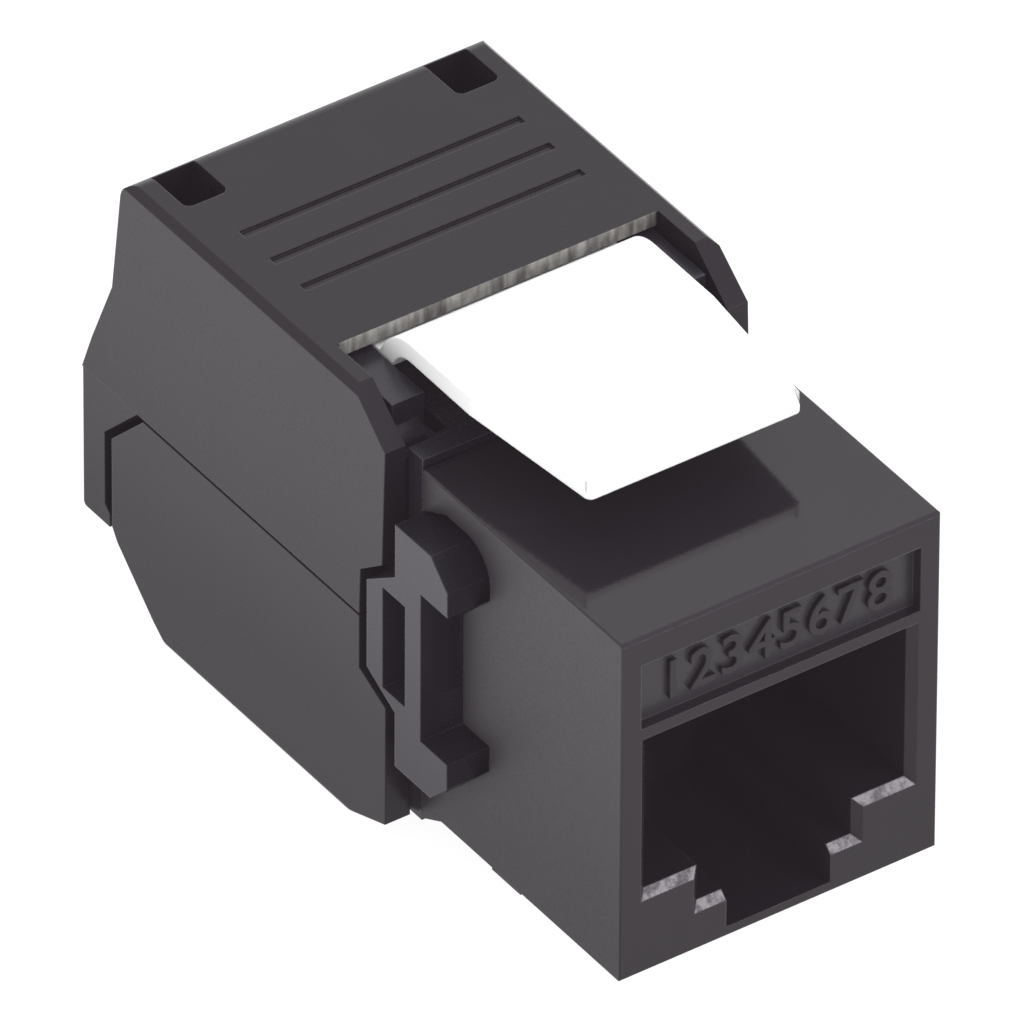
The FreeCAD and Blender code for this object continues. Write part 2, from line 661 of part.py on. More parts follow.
def build_termination_body():
    """Middle body: board pocket, terminal slots, side clips, hinge pins and latch cheeks."""
    body = new_body("termination_body")
    block(body, "Core", (-half_body, half_body), (s.body_front, s.body_rear),
          (s.body_bottom, s.body_top))
    block(body, "Flange", (-half_body, half_body), (s.body_front, s.body_front + s.flange_length),
          (-s.flange_drop, s.flange_top))

    root_half = s.latch_root_width / 2
    pin_end = half_cover - s.pin_skin - s.pin_clearance
    past_side = half_cover + s.cover_wall
    for sign in LEFT_AND_RIGHT:
        block(body, "Cheek", on_side(sign, root_half + s.cheek_gap, half_body),
              (s.cheek_front, s.cheek_front + s.cheek_length),
              (s.body_bottom, s.cheek_top))
        for height in (s.hinge_upper, s.hinge_lower):
            centre = (s.hinge_place, height)
            rod(body, "Boss", "YZ_Plane", centre,
                *on_side(sign, half_body - s.boss_length, half_body), s.boss_radius)
            rod(body, "Pin", "YZ_Plane", centre,
                *on_side(sign, half_body - s.boss_length, pin_end), s.pin_radius)
        prism(body, "Clip", "YZ_Plane", clip_outline(),
              *on_side(sign, half_cover - s.clip_thickness, half_cover))
        block(body, "ClipSlot", on_side(sign, half_cover - s.clip_thickness, past_side),
              (s.slot_front, s.slot_rear), (s.slot_bottom, s.slot_top), cut=True)

    trunnion_hole = s.trunnion_radius + s.trunnion_clearance
    hole_end = root_half + s.cheek_gap + s.trunnion_length
    rod(body, "TrunnionHoles", "YZ_Plane", (s.pivot_place, s.pivot_height),
        -hole_end, hole_end, trunnion_hole, cut=True)
    rod(body, "Cradle", "YZ_Plane", (s.pivot_place, s.pivot_height),
        -root_half - s.cheek_gap, root_half + s.cheek_gap,
        s.barrel_radius + s.cheek_gap, cut=True)

    half_pocket = s.board_width / 2 + s.board_clearance
    block(body, "BoardPocket", (-half_pocket, half_pocket),
          (s.body_front, board_rear + s.board_backset),
          (s.board_bottom - s.board_clearance, s.board_top + s.board_clearance), cut=True)
    cut_terminal_slots(body)
    return body


def cut_cable_entry(body, low, high, front, rear):
    """Half-round entry for the cable, open towards the seam or through the leg."""
    block(body, "EntryNotch", (-s.entry_radius, s.entry_radius), (front, rear),
          (low, high), cut=True)
    rod(body, "EntryRound", "XZ_Plane", (0, s.seam_height), front, rear, s.entry_radius, cut=True)


def add_pressing_ribs(body, upper):
    """Ribs that push the conductors into the terminals, left open round each blade."""
    base = roof_underside if upper else mirrored_height(floor_upside)
    tip = s.body_top - s.rib_depth
    half_rib = s.rib_width / 2
    rows = [(s.terminal_outer, s.terminal_front), (s.terminal_inner, s.terminal_rear)]
    height = (tip, base) if upper else (mirrored_height(base), mirrored_height(tip))
    for sideways, distance in rows:
        depth = (distance - half_rib, distance + half_rib)
        spans = [(s.rib_inner, sideways - s.rib_gap), (sideways + s.rib_gap, s.rib_outer)]
        for inner, outer in spans:
            for sign in LEFT_AND_RIGHT:
                block(body, "Rib", on_side(sign, inner, outer), depth, height)


def cut_hinge_holes(body, height):
    """Blind holes in the ears that turn on the termination body's pins."""
    for sign in LEFT_AND_RIGHT:
        rod(body, "HingeHole", "YZ_Plane", (s.hinge_place, height),
            *on_side(sign, cover_inside - s.pin_clearance, half_cover - s.pin_skin),
            s.pin_radius + s.pin_clearance, cut=True)


def build_upper_cover():
    """Upper clamshell: roof with grooves and pockets, ears, and the rear leg that locks."""
    body = new_body("upper_cover")
    bevel_top = lower_rear - s.leg_bevel
    bevel_front = bevel_top + s.leg_bevel_gap
    ear_slope_end = s.ear_front + s.ear_slope
    prism(body, "Solid", "YZ_Plane", [
        (s.cover_front, seam_top), (s.cover_front, s.ear_neck),
        (s.ear_front, s.ear_foot), (s.ear_front, s.ear_top),
        (ear_slope_end, s.roof_height), (s.roof_rear, s.roof_height),
        (s.waist_rear, s.waist_height), (s.swell_rear, s.swell_height),
        (s.total_depth, seam_top), (s.total_depth, s.leg_floor),
        (leg_front - s.leg_foot, s.leg_floor),
        (leg_front - s.leg_foot, s.leg_floor + s.leg_foot_height),
        (leg_front, s.leg_floor + s.leg_foot_height + s.leg_foot),
        (leg_front, seam_top - (leg_front - bevel_front)), (bevel_front, seam_top),
    ], -half_cover, half_cover)
    roof_edge = edges_along(body, "x", [(s.roof_rear, s.roof_height)])
    soften(body, "RoofRound", "Fillet", roof_edge, s.roof_round)
    leg_bottom = edges_along(body, "x", [(s.total_depth, s.leg_floor)])
    soften(body, "LegRound", "Fillet", leg_bottom, s.leg_round)
    for sign in LEFT_AND_RIGHT:
        prism(body, "SideLean", "XZ_Plane", [
            (half_cover * sign, seam_top),
            ((half_cover - s.cover_lean) * sign, s.roof_height - s.cover_bevel),
            ((half_cover - s.cover_lean - s.cover_bevel) * sign, s.roof_height),
            ((half_cover + s.cover_wall) * sign, s.roof_height),
            ((half_cover + s.cover_wall) * sign, seam_top),
        ], s.ear_front, s.total_depth, cut=True)

    inside_rear = s.roof_rear - s.rear_wall
    prism(body, "Inside", "YZ_Plane", [
        (s.roof_front, roof_underside), (inside_rear, roof_underside),
        (s.waist_rear - s.rear_wall, s.waist_height),
        (s.waist_rear - s.rear_wall, seam_top), (s.ear_front, seam_top),
        (s.ear_front, s.roof_height), (s.roof_front, s.roof_height),
    ], -cover_inside, cover_inside, cut=True)
    cut_cable_entry(body, s.leg_floor, s.seam_height, inside_rear, s.total_depth)

    half_groove = s.groove_width / 2
    half_length = s.groove_length / 2
    for number in range(3):
        place = s.groove_first + s.groove_pitch * number
        block(body, f"Groove{number + 1}", (-half_length, half_length),
              (place - half_groove, place + half_groove),
              (s.roof_height - s.groove_depth, s.roof_height), cut=True)
    for sign in LEFT_AND_RIGHT:
        block(body, "RoofPocket", on_side(sign, s.pocket_inner, s.pocket_outer),
              (s.pocket_front, s.roof_rear - s.pocket_rear_wall),
              (s.pocket_floor, s.roof_height), cut=True)
    corners = [(side, s.pocket_front) for inner in (s.pocket_inner, s.pocket_outer)
               for side in both_signs(inner)]
    soften(body, "PocketRounds", "Fillet", edges_along(body, "z", corners), s.pocket_round)

    for sign in LEFT_AND_RIGHT:
        block(body, "LegInset", on_side(sign, half_cover - s.leg_inset, half_cover + s.cover_wall),
              (bevel_top, s.total_depth), (s.leg_floor, seam_top), cut=True)
    cut_hinge_holes(body, s.hinge_upper)
    add_pressing_ribs(body, upper=True)
    return body


def build_lower_cover():
    """Lower clamshell: floor, ears and the rear wall that the upper cover's leg locks."""
    body = new_body("lower_cover")
    prism(body, "Solid", "YZ_Plane", [
        (s.cover_front, seam_bottom), (s.cover_front, s.lower_ear_neck),
        (s.lower_ear_front, s.lower_ear_top),
        (s.lower_ear_front, s.lower_ear_foot - s.rear_drop),
        (s.lower_ear_front + s.lower_ear_slope, -s.rear_drop),
        (s.floor_rear, -s.rear_drop), (s.heel_front, s.heel_step - s.rear_drop),
        (s.heel_rear, s.heel_height), (lower_rear, s.heel_height + s.leg_gap),
        (lower_rear, seam_bottom - s.leg_bevel), (lower_rear - s.leg_bevel, seam_bottom),
    ], -half_cover, half_cover)
    bottom_edges = edges_along(body, "y", [(-half_cover, -s.rear_drop), (half_cover, -s.rear_drop)])
    soften(body, "LongRounds", "Fillet", bottom_edges, s.floor_round)
    inside_rear = lower_rear - s.rear_wall
    prism(body, "Inside", "YZ_Plane", [
        (s.floor_front, floor_upside), (s.floor_rear, floor_upside),
        (inside_rear, s.heel_height + s.rear_wall), (inside_rear, seam_bottom),
        (s.lower_ear_front, seam_bottom), (s.lower_ear_front, -s.rear_drop),
        (s.floor_front, -s.rear_drop),
    ], -cover_inside, cover_inside, cut=True)
    rod(body, "EntryRound", "XZ_Plane", (0, s.seam_height), inside_rear, lower_rear,
        s.entry_radius, cut=True)
    cut_hinge_holes(body, s.hinge_lower)
    add_pressing_ribs(body, upper=False)
    return body


def build_panel_latch():
    """Springy, nearly level arm that bends down steeply to a round root on two trunnions."""
    body = new_body("panel_latch")
    root_half = s.latch_root_width / 2
    tip_top = s.latch_tip_bottom + s.latch_thickness
    crest_top = tip_top + s.latch_rise
    prism(body, "Arm", "YZ_Plane", [
        (s.latch_tip, s.latch_tip_bottom), (s.latch_tip, tip_top), (s.latch_bend, crest_top),
        (s.latch_heel, s.latch_heel_top),
        (s.pivot_place, s.pivot_height + s.barrel_radius), (s.pivot_place, s.pivot_height),
        (s.pivot_place - s.barrel_radius, s.pivot_height),
        (s.latch_heel - s.latch_thickness, s.latch_underside),
        (s.latch_bend - s.latch_bend_inset, crest_top - s.latch_thickness),
    ], -root_half, root_half)
    outer_bend = edges_along(body, "x", [(s.latch_bend, crest_top)])
    soften(body, "OuterBend", "Fillet", outer_bend, s.latch_bend_round)
    inner_bend = edges_along(body, "x", [
        (s.latch_bend - s.latch_bend_inset, crest_top - s.latch_thickness)])
    soften(body, "InnerBend", "Fillet", inner_bend, s.latch_bend_round - s.latch_thickness)
    rod(body, "Root", "YZ_Plane", (s.pivot_place, s.pivot_height), -root_half, root_half,
        s.barrel_radius)
    half_tip = s.latch_tip_width / 2
    for sign in LEFT_AND_RIGHT:
        prism(body, "Taper", "XY_Plane", [
            (half_tip * sign, s.latch_tip), (root_half * sign, s.latch_shoulder),
            (half_cover * sign, s.latch_shoulder), (half_cover * sign, s.latch_tip),
        ], s.latch_tip_bottom, crest_top, cut=True)
    corners = edges_along(body, "z", [(side, s.latch_tip) for side in both_signs(half_tip)])
    soften(body, "TipRounds", "Fillet", corners, s.latch_round)
    prism(body, "Ramp", "YZ_Plane", [
        (s.latch_tip, s.latch_tip_bottom), (s.latch_tip, tip_top + s.latch_thickness),
        (s.latch_tip + s.latch_ramp * 2, tip_top + s.latch_thickness),
    ], -half_tip, half_tip, cut=True)
    rod(body, "Trunnions", "YZ_Plane", (s.pivot_place, s.pivot_height),
        -root_half - s.trunnion_length, root_half + s.trunnion_length, s.trunnion_radius)
    return body


def build_all():
    """Every separate piece of the jack, in the order in which it is put together."""
    bodies = [build_front_housing(), build_contact_carrier(), build_circuit_board()]
    bodies += [build_contact(number) for number in range(1, int(s.contact_count.value) + 1)]
    bodies += [build_termination_body()]
    bodies += [build_terminal(*place) for place in terminal_places()]
    bodies += [build_panel_latch(), build_upper_cover(), build_lower_cover()]
    return bodies


def check_document():
    """Stop if any object of the document failed."""
    for item in doc.Objects:
        if "Invalid" in item.State or "Error" in item.State:
            raise RuntimeError(f"{item.Label} failed: {item.State}")


def write_parts(bodies):
    """One file for each piece, named after it."""
    os.makedirs("parts", exist_ok=True)
    for body in bodies:
        shape = body.Shape
        if shape.isNull() or not shape.isValid() or len(shape.Solids) != 1:
            raise RuntimeError(f"{body.Label} is not one valid solid")
        print(f"{body.Label}: {shape.Volume:.2f} mm3")
        shape.exportStep(f"parts/{body.Label}.step")


pieces = build_all()
for piece in pieces:
    piece.Tip.Refine = True
doc.recompute()
check_document()
for piece in pieces:
    check_volumes(piece)
write_parts(pieces)
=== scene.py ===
import math

import bpy
from mathutils import Matrix, Vector


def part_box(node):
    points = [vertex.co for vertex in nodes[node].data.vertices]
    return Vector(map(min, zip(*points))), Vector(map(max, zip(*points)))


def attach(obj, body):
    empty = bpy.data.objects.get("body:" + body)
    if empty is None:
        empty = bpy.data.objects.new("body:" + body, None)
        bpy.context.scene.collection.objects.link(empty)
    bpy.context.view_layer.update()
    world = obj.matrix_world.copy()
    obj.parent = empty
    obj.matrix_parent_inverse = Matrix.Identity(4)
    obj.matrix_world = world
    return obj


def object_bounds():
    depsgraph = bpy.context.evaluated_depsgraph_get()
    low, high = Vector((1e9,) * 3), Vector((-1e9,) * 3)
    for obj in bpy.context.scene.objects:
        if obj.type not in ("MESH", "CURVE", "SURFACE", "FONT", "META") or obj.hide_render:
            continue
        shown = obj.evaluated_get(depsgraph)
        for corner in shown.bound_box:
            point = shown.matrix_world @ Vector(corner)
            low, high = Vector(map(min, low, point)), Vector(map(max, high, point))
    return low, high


# Looks of a keystone jack: black moulded plastic, a glossy white panel latch, gold contact wires.
# Lengths are in metres, in the row frame: X to the right of the port, Y to the rear, Z up.

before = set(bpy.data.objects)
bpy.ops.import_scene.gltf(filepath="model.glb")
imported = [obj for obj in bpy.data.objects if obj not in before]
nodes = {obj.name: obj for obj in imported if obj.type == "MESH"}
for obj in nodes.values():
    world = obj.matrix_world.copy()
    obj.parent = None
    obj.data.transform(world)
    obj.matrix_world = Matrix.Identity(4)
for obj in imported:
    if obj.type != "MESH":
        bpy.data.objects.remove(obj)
cad_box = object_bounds()

MM = 0.001

# The front face, and how far below its bottom edge the lower cover's underside lies
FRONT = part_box("front_housing")[0].y
FOOT_DROP = 1.9 * MM

# The photograph's view
IMAGE_SIDE = 1024
SENSOR = 36.0
AZIMUTH = math.radians(-35.605)
ELEVATION = math.radians(38.504)
ROLL = math.radians(0.72)
CAMERA_DISTANCE = 1.0841
PIXELS_PER_METRE = 26483
CORNER_PIXEL = (778.083, 913.938)

# Brightness of the room, and how much brighter it is towards +X, +Y and +Z
ROOM_LIGHT = 1.63
ROOM_LEAN = (0.2, 0.0, 0.0)

# The lit floor: its half width, its gap under the jack, its glow there, how much the glow rises
# to the left and to the front, and where each rise starts and ends
FLOOR_HALF = 3.0
FLOOR_GAP = 0.02 * MM
FLOOR_GLOW = 0.95
LEFT_RISE = 0.65
LEFT_REACH = (-12 * MM, -21 * MM)
FRONT_RISE = 0.05
FRONT_REACH = (-12 * MM, -20 * MM)

# A small strip lamp whose light glints on the rims of the port's ledges
LAMP_WAY = (0.456, -0.6225, 0.636)
LAMP_DISTANCE = 70 * MM
LAMP_SIZE = (40 * MM, 7 * MM)
LAMP_BRIGHTNESS = 15.0
LEDGE_HEIGHT = 3.5 * MM + FOOT_DROP

# The recessed field above the port and the numbers in it
FIELD_DEPTH = 0.5 * MM
FIELD_MIDDLE = 13.185 * MM + FOOT_DROP
NUMBER_SIZE = 2.5 * MM
NUMBER_HEIGHT = 0.4 * MM
NUMBER_BEVEL = 0.03 * MM
NUMBER_SPREAD = 1.33

# How much rougher the front housing is in patches of the rims, on its sides and in its field
RIM_DULLNESS = 0.16
SIDE_DULLNESS = 0.3
FIELD_DULLNESS = 0.22

# The black plastic: its body colours, with a paler field colour that is painted light lifting
# the shade of the recessed field, how much brighter its clouds are, the colours of rubbed edges,
# which are partly painted edge highlights, the tint of its gloss, and a faint painted glow that
# stands in for the stray light in its depths
PLASTIC_BLACK = (0.008, 0.0065, 0.0085)
FIELD_PAINTED_LIGHT_COLOUR = (0.02, 0.0185, 0.0215)
CLOUD_GAIN = 1.12
WORN_HOUSING_AND_HIGHLIGHT = (0.035, 0.032, 0.036)
WORN_COVER_AND_HIGHLIGHT = (0.022, 0.02, 0.023)
GLOSS_TINT = (0.975, 0.925, 1.0, 1.0)
PAINTED_STRAY_GLOW = (0.0138, 0.011, 0.0132, 1.0)

# How far from an edge the plastic is rubbed and carries a painted edge highlight, and the radius
# at which its light turns the edge
RUBBED_AND_HIGHLIGHT_WIDTH = 0.09 * MM
EDGE_ROUND = 0.07 * MM


def region(half_width, front, rear, foot, top):
    """A box across the middle plane, from sizes in mm, with front and rear from the front face."""
    return ((-half_width * MM, FRONT + front * MM, foot * MM),
            (half_width * MM, FRONT + rear * MM, top * MM))


# The front lip of the upper cover's roof, painted pale with reflected light from the white latch,
# the port, the rims round it, the field's floor
LIP_REFLECTION_BOX = region(half_width=7.3, front=0.1, rear=18.72, foot=19.6, top=30)
PORT = region(half_width=6.15, front=0.4, rear=27.1, foot=1, top=13)
RIMS = region(half_width=6.3, front=-0.2, rear=0.35, foot=1, top=13)
FIELD = region(half_width=6.7, front=0.44, rear=0.56, foot=13.4, top=17)


def socket_values(node, **values):
    """Set several of a shader node's inputs by name."""
    for name, value in values.items():
        node.inputs[name.replace("_", " ")].default_value = value


class Recipe:
    """A material being put together, node by node."""

    def __init__(self, name):
        self.material = bpy.data.materials.new(name)
        self.material.use_nodes = True
        self.tree = self.material.node_tree
        self.shader = self.tree.nodes["Principled BSDF"]
        self.place = self.add("ShaderNodeTexCoord").outputs["Object"]

    def add(self, kind, **settings):
        node = self.tree.nodes.new(kind)
        for name, value in settings.items():
            setattr(node, name, value)
        return node

    def link(self, source, target):
        self.tree.links.new(source, target)

    def noise(self, scale, detail=2.0, stretch=(1, 1, 1)):
        """Noise in the object's own space, with its scale in features per metre."""
        source = self.place
        if stretch != (1, 1, 1):
            mapping = self.add("ShaderNodeMapping")
            mapping.inputs["Scale"].default_value = stretch
            self.link(self.place, mapping.inputs["Vector"])
            source = mapping.outputs["Vector"]
        node = self.add("ShaderNodeTexNoise")
        socket_values(node, Scale=scale, Detail=detail)
        self.link(source, node.inputs["Vector"])
        return node.outputs["Fac"]

    def ramp(self, source, low, high, start, end):
        """source between low and high, mapped to start and end."""
        node = self.add("ShaderNodeMapRange")
        for name, value in zip(("From Min", "From Max", "To Min", "To Max"),
                               (low, high, start, end)):
            node.inputs[name].default_value = value
        self.link(source, node.inputs["Value"])
        return node.outputs["Result"]

    def mix(self, factor, first, second):
        """A colour between two colours or colour sockets."""
        node = self.add("ShaderNodeMix", data_type="RGBA")
        self.link(factor, node.inputs["Factor"])
        for number, colour in ((6, first), (7, second)):
            if isinstance(colour, tuple):
                node.inputs[number].default_value = (*colour, 1.0)
            else:
                self.link(colour, node.inputs[number])
        return node.outputs[2]

    def sum(self, first, second):
        """The sum of two values."""
        node = self.add("ShaderNodeMath", operation="ADD")
        self.link(first, node.inputs[0])
        self.link(second, node.inputs[1])
        return node.outputs["Value"]

    def product(self, first, *others):
        """The product of values."""
        for other in others:
            node = self.add("ShaderNodeMath", operation="MULTIPLY")
            self.link(first, node.inputs[0])
            self.link(other, node.inputs[1])
            first = node.outputs["Value"]
        return first

    def inside(self, low, high, soft=0.03 * MM):
        """1 inside a box of the object's own space and 0 outside it."""
        split = self.add("ShaderNodeSeparateXYZ")
        self.link(self.place, split.inputs[0])
        walls = []
        for socket, start, end in zip(split.outputs, low, high):
            walls.append(self.ramp(socket, start - soft, start + soft, 0.0, 1.0))
            walls.append(self.ramp(socket, end + soft, end - soft, 0.0, 1.0))
        return self.product(*walls)

    def sideways(self):
        """1 on faces that look left or right, 0 on those that look along Y or Z."""
        split = self.add("ShaderNodeSeparateXYZ")
        self.link(self.add("ShaderNodeNewGeometry").outputs["True Normal"], split.inputs[0])
        node = self.add("ShaderNodeMath", operation="ABSOLUTE")
        self.link(split.outputs["X"], node.inputs[0])
        return node.outputs["Value"]

    def edge_mask(self, radius):
        """0 on flat faces, rising towards 1 where two faces meet."""
        rounded = self.add("ShaderNodeBevel", samples=6)
        rounded.inputs["Radius"].default_value = radius
        geometry = self.add("ShaderNodeNewGeometry")
        dot = self.add("ShaderNodeVectorMath", operation="DOT_PRODUCT")
        self.link(rounded.outputs["Normal"], dot.inputs[0])
        self.link(geometry.outputs["Normal"], dot.inputs[1])
        return self.ramp(dot.outputs["Value"], 1.0, 0.8, 0.0, 1.0)

    def relief(self, layers, round_radius=0.0):
        """Bump from (height, distance) layers over normals rounded at the edges."""
        normal = None
        if round_radius:
            rounded = self.add("ShaderNodeBevel", samples=6)
            rounded.inputs["Radius"].default_value = round_radius
            normal = rounded.outputs["Normal"]
        for height, distance in layers:
            bump = self.add("ShaderNodeBump")
            socket_values(bump, Strength=1.0, Distance=distance)
            self.link(height, bump.inputs["Height"])
            if normal is not None:
                self.link(normal, bump.inputs["Normal"])
            normal = bump.outputs["Normal"]
        self.link(normal, self.shader.inputs["Normal"])


def roof_lip(recipe, colour):
    """colour, but pale and streaky on the front edge of the upper cover's roof: painted reflected
    light from the white latch.
    """
    streaks = recipe.noise(2600, 3, stretch=(1, 0.2, 0.2))
    lip_reflection_colour = recipe.mix(recipe.ramp(streaks, 0.35, 0.65, 0.0, 1.0),
                      (0.1, 0.096, 0.088), (0.34, 0.33, 0.31))
    return recipe.mix(recipe.inside(*LIP_REFLECTION_BOX), colour, lip_reflection_colour)


def moulded_black(name, colour, worn_and_highlight, roughness, gloss, grain=1.0, front=False, lip_reflection=False):
    """Black moulded plastic: fine grain, faint flow marks, paler rubbed edges that are partly
    painted edge highlights, and a faint painted glow.

    front gives the front housing its patchy rims, its duller sides and field, its field's paler
    colour, which is painted light, and its port without rubbed edges or painted edge highlights,
    and the roof lip flag gives the upper cover's roof its pale front edge, painted reflected light
    from the white latch.
    """
    recipe = Recipe(name)
    cloud = recipe.noise(260, 3)
    fine = recipe.noise(9000, 2)
    flow = recipe.noise(900, 2, stretch=(1, 1, 0.12))
    patchy = recipe.mix(recipe.ramp(cloud, 0.35, 0.65, 0.0, 1.0),
                        colour, tuple(c * CLOUD_GAIN for c in colour))
    # Rubbed edges: paler partly from wear and partly as a painted edge highlight.
    edge_wear_and_highlight = recipe.edge_mask(RUBBED_AND_HIGHLIGHT_WIDTH)
    if front:
        outside_port = recipe.ramp(recipe.inside(*PORT), 0.0, 1.0, 1.0, 0.0)
        edge_wear_and_highlight = recipe.product(edge_wear_and_highlight, outside_port)
    rubbed_and_highlight = recipe.product(edge_wear_and_highlight, recipe.ramp(flow, 0.35, 0.65, 0.25, 0.8))
    paint = recipe.mix(rubbed_and_highlight, patchy, worn_and_highlight)
    # Painted light: the field's floor is made paler to lift the shade of its recess.
    if front:
        paint = recipe.mix(recipe.inside(*FIELD), paint, FIELD_PAINTED_LIGHT_COLOUR)
    # Painted light: the roof's front lip gets a pale, streaky reflection of the white latch.
    if lip_reflection:
        paint = roof_lip(recipe, paint)
    recipe.link(paint, recipe.shader.inputs["Base Color"])
    surface = recipe.ramp(fine, 0.3, 0.7, roughness - 0.05, roughness + 0.06)
    if front:
        patches = recipe.ramp(recipe.noise(2000, 3, stretch=(1, 1, 0.4)), 0.42, 0.6, 0.0, 1.0)
        rims = recipe.product(patches, recipe.inside(*RIMS))
        for mask, start, end, added in ((rims, 0.0, 1.0, RIM_DULLNESS),
                                        (recipe.sideways(), 0.7, 0.9, SIDE_DULLNESS),
                                        (recipe.inside(*FIELD), 0.0, 1.0, FIELD_DULLNESS)):
            surface = recipe.sum(surface, recipe.ramp(mask, start, end, 0.0, added))
    recipe.link(surface, recipe.shader.inputs["Roughness"])
    # A faint even painted glow stands in for stray light in the plastic's dark depths.
    socket_values(recipe.shader, Specular_IOR_Level=gloss, Specular_Tint=GLOSS_TINT,
                  Emission_Color=PAINTED_STRAY_GLOW, Emission_Strength=1.0)
    recipe.relief([(fine, 0.0015 * MM * grain), (flow, 0.002 * MM)], EDGE_ROUND)
    return recipe.material


def white_plastic():
    """Glossy white plastic with a barely uneven surface."""
    recipe = Recipe("latch_white")
    cloud = recipe.noise(420, 2)
    recipe.link(recipe.mix(recipe.ramp(cloud, 0.3, 0.7, 0.0, 1.0),
                           (0.71, 0.71, 0.715), (0.74, 0.74, 0.74)),
                recipe.shader.inputs["Base Color"])
    recipe.link(recipe.ramp(cloud, 0.3, 0.7, 0.28, 0.36), recipe.shader.inputs["Roughness"])
    recipe.relief([(recipe.noise(6000, 2), 0.002 * MM)], 0.12 * MM)
    return recipe.material


def plated_metal(name, colour, dull, roughness):
    """Plated spring metal with drawing marks along the wire."""
    recipe = Recipe(name)
    marks = recipe.noise(14000, 2, stretch=(1, 0.05, 0.05))
    stain = recipe.noise(1500, 3)
    recipe.link(recipe.mix(recipe.ramp(stain, 0.4, 0.7, 0.0, 0.6), colour, dull),
                recipe.shader.inputs["Base Color"])
    recipe.shader.inputs["Metallic"].default_value = 1.0
    recipe.link(recipe.ramp(marks, 0.3, 0.7, roughness - 0.06, roughness + 0.08),
                recipe.shader.inputs["Roughness"])
    recipe.relief([(marks, 0.002 * MM)], 0.03 * MM)
    return recipe.material


def board_lacquer():
    """Green solder mask over woven glass."""
    recipe = Recipe("board_green")
    weave = recipe.noise(3500, 1)
    recipe.link(recipe.mix(recipe.ramp(weave, 0.4, 0.6, 0.0, 1.0),
                           (0.015, 0.11, 0.045), (0.02, 0.15, 0.06)),
                recipe.shader.inputs["Base Color"])
    recipe.link(recipe.ramp(weave, 0.3, 0.7, 0.25, 0.35), recipe.shader.inputs["Roughness"])
    recipe.relief([(weave, 0.004 * MM)], 0.03 * MM)
    return recipe.material


def dress(names, material):
    """Give CAD nodes a material."""
    for name in names:
        mesh = nodes[name].data
        mesh.materials.clear()
        mesh.materials.append(material)


def dress_all():
    """The finish of every CAD node."""
    dress(["front_housing"], moulded_black(
        "housing_black", PLASTIC_BLACK, WORN_HOUSING_AND_HIGHLIGHT, roughness=0.09, gloss=0.26, front=True))
    dress(["upper_cover", "lower_cover"], moulded_black(
        "cover_black", PLASTIC_BLACK, WORN_COVER_AND_HIGHLIGHT, roughness=0.28, gloss=0.17, grain=0.5,
        lip_reflection=True))
    dress(["termination_body"], moulded_black(
        "body_black", colour=(0.009, 0.008, 0.012), worn_and_highlight=(0.05, 0.049, 0.056),
        roughness=0.25, gloss=0.265, grain=1.6))
    dress(["contact_carrier"], moulded_black(
        "insert_black", colour=(0.006, 0.005, 0.0065), worn_and_highlight=(0.015, 0.014, 0.016),
        roughness=0.35, gloss=0.24))
    dress(["panel_latch"], white_plastic())
    dress(["circuit_board"], board_lacquer())
    dress([name for name in nodes if name.startswith("contact_") and name != "contact_carrier"],
          plated_metal("contact_gold", colour=(0.83, 0.58, 0.2), dull=(0.7, 0.47, 0.17),
                       roughness=0.24))
    dress([name for name in nodes if name.startswith("idc_terminal_")],
          plated_metal("terminal_tin", colour=(0.72, 0.72, 0.7), dull=(0.55, 0.55, 0.53),
                       roughness=0.32))


def number_mesh(number):
    """One raised digit, centred on its own middle, with its back at zero depth."""
    curve = bpy.data.curves.new(f"number_{number}", "FONT")
    curve.body = str(number)
    curve.size = NUMBER_SIZE
    curve.extrude = NUMBER_HEIGHT / 2
    curve.bevel_depth = NUMBER_BEVEL
    text = bpy.data.objects.new(f"number_text_{number}", curve)
    bpy.context.scene.collection.objects.link(text)
    bpy.context.view_layer.update()
    mesh = bpy.data.meshes.new_from_object(text)
    bpy.data.objects.remove(text)
    corners = [[f(v.co[axis] for v in mesh.vertices) for f in (min, max)] for axis in range(3)]
    middle = Vector([(low + high) / 2 for low, high in corners])
    mesh.transform(Matrix.Rotation(math.pi / 2, 4, "X") @ Matrix.Translation(-middle))
    return mesh


def add_numbers():
    """Plain numbers of the eight contacts, raised in the field above the port."""
    first, last = [(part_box(name)[0].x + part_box(name)[1].x) / 2
                   for name in ("contact_1", "contact_8")]
    material = moulded_black("number_black", PLASTIC_BLACK, WORN_COVER_AND_HIGHLIGHT, roughness=0.2,
                             gloss=0.27)
    for number in range(1, 9):
        mesh = number_mesh(number)
        mesh.materials.clear()
        mesh.materials.append(material)
        piece = bpy.data.objects.new(f"contact_number_{number}", mesh)
        contact_x = first + (last - first) * (number - 1) / 7
        piece.location = (contact_x * NUMBER_SPREAD, FRONT + FIELD_DEPTH, FIELD_MIDDLE)
        bpy.context.scene.collection.objects.link(piece)
        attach(piece, "jack")


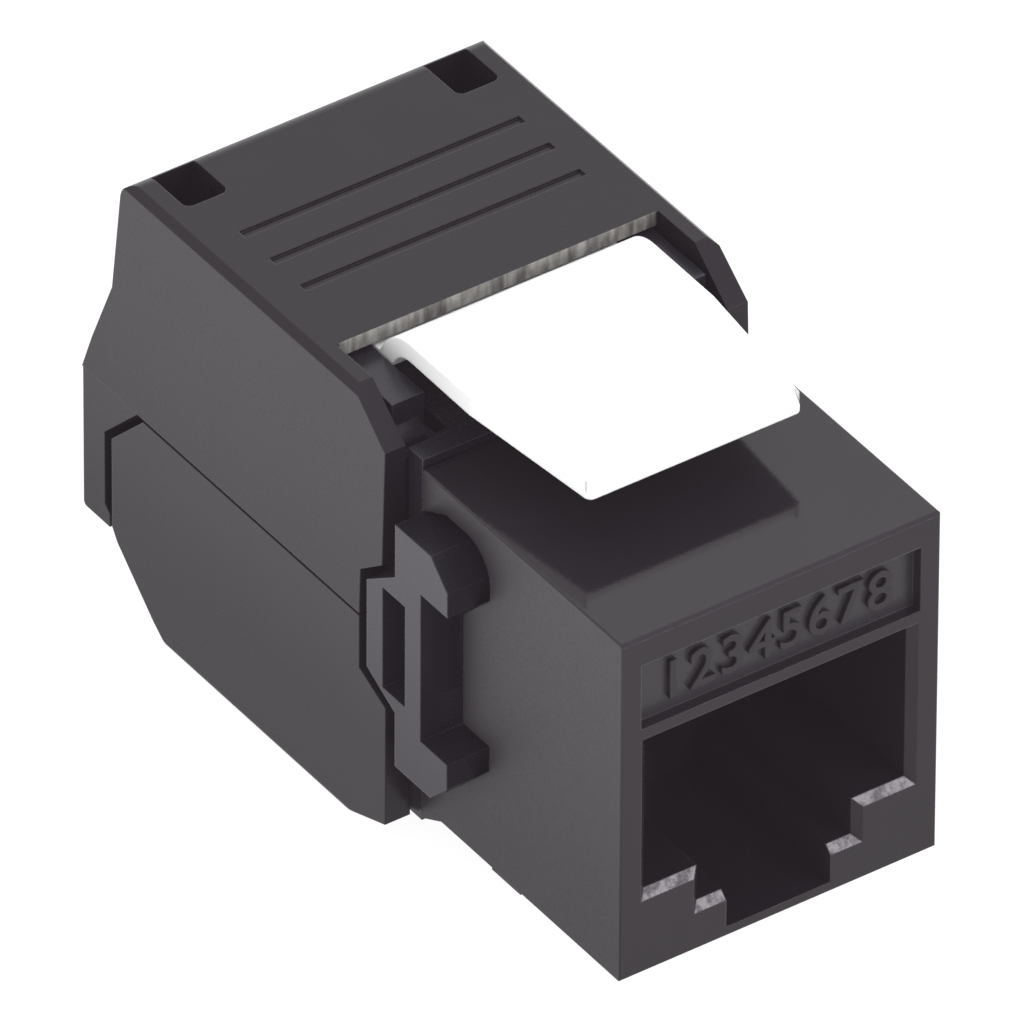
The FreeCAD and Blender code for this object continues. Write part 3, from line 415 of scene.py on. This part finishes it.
def add_stage():
    """Plain lit white floor, wide enough for every view."""
    half = FLOOR_HALF
    mesh = bpy.data.meshes.new("floor")
    mesh.from_pydata([(-half, -half, 0), (half, -half, 0), (half, half, 0), (-half, half, 0)],
                     [], [(0, 1, 2, 3)])
    floor = bpy.data.objects.new("floor", mesh)
    bpy.context.scene.collection.objects.link(floor)
    recipe = Recipe("floor_white")
    recipe.link(recipe.mix(recipe.noise(3, 2), (0.1, 0.1, 0.1), (0.11, 0.11, 0.11)),
                recipe.shader.inputs["Base Color"])
    split = recipe.add("ShaderNodeSeparateXYZ")
    recipe.link(recipe.place, split.inputs[0])
    leftward = recipe.ramp(split.outputs["X"], *LEFT_REACH, FLOOR_GLOW, FLOOR_GLOW + LEFT_RISE)
    forward = recipe.ramp(split.outputs["Y"], *FRONT_REACH, 0.0, FRONT_RISE)
    recipe.link(recipe.sum(leftward, forward), recipe.shader.inputs["Emission Strength"])
    socket_values(recipe.shader, Emission_Color=(1, 1, 1, 1), Roughness=0.8,
                  Specular_IOR_Level=0.1)
    mesh.materials.append(recipe.material)
    floor.location.z = cad_box[0].z - FLOOR_GAP


def add_lights():
    """White room light all round, a little brighter from the right, and the strip lamp."""
    world = bpy.data.worlds.new("studio")
    bpy.context.scene.world = world
    world.use_nodes = True
    tree = world.node_tree
    direction = tree.nodes.new("ShaderNodeTexCoord").outputs["Generated"]
    lean = tree.nodes.new("ShaderNodeVectorMath")
    lean.operation = "DOT_PRODUCT"
    lean.inputs[1].default_value = ROOM_LEAN
    total = tree.nodes.new("ShaderNodeMath")
    total.operation = "ADD"
    total.inputs[1].default_value = ROOM_LIGHT
    background = tree.nodes["Background"]
    background.inputs["Color"].default_value = (1, 1, 1, 1)
    tree.links.new(direction, lean.inputs[0])
    tree.links.new(lean.outputs["Value"], total.inputs[0])
    tree.links.new(total.outputs["Value"], background.inputs["Strength"])

    lamp = bpy.data.lights.new("strip_lamp", "AREA")
    lamp.shape = "RECTANGLE"
    lamp.size, lamp.size_y = LAMP_SIZE
    lamp.energy = LAMP_BRIGHTNESS * math.pi * LAMP_SIZE[0] * LAMP_SIZE[1]
    holder = bpy.data.objects.new("strip_lamp", lamp)
    bpy.context.scene.collection.objects.link(holder)
    way = Vector(LAMP_WAY).normalized()
    across = Vector((1, 0, 0))
    upward = way.cross(across).normalized()
    across = upward.cross(way)
    turn = Matrix((across, upward, way)).transposed()
    target = Vector((0, FRONT, LEDGE_HEIGHT))
    holder.matrix_world = Matrix.Translation(target + way * LAMP_DISTANCE) @ turn.to_4x4()
    holder.visible_camera = False


def add_camera():
    """The photograph's camera: far away, looking down at the front left corner."""
    back = Vector((math.sin(AZIMUTH) * math.cos(ELEVATION),
                   -math.cos(AZIMUTH) * math.cos(ELEVATION), math.sin(ELEVATION)))
    level = Vector((math.cos(AZIMUTH), math.sin(AZIMUTH), 0))
    upright = back.cross(level)
    right = level * math.cos(ROLL) + upright * math.sin(ROLL)
    up = upright * math.cos(ROLL) - level * math.sin(ROLL)
    focal_pixels = PIXELS_PER_METRE * CAMERA_DISTANCE
    corner = Vector((0, FRONT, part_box("lower_cover")[0].z + FOOT_DROP))
    offset_right = CORNER_PIXEL[0] - IMAGE_SIDE / 2
    offset_up = IMAGE_SIDE / 2 - CORNER_PIXEL[1]
    aim = -back * focal_pixels - right * offset_right - up * offset_up
    away = -aim.normalized()
    side = up.cross(away).normalized()
    camera = bpy.data.cameras.new("photo_camera")
    camera.sensor_width = SENSOR
    camera.lens = focal_pixels * SENSOR / IMAGE_SIDE
    camera.clip_start = 0.01
    camera.clip_end = 20
    holder = bpy.data.objects.new("photo_camera", camera)
    bpy.context.scene.collection.objects.link(holder)
    turn = Matrix((side, away.cross(side), away)).transposed()
    holder.matrix_world = Matrix.Translation(corner + back * CAMERA_DISTANCE) @ turn.to_4x4()
    bpy.context.scene.camera = holder


dress_all()
add_numbers()
add_stage()
add_lights()
add_camera()
bpy.context.scene.view_settings.view_transform = "Standard"
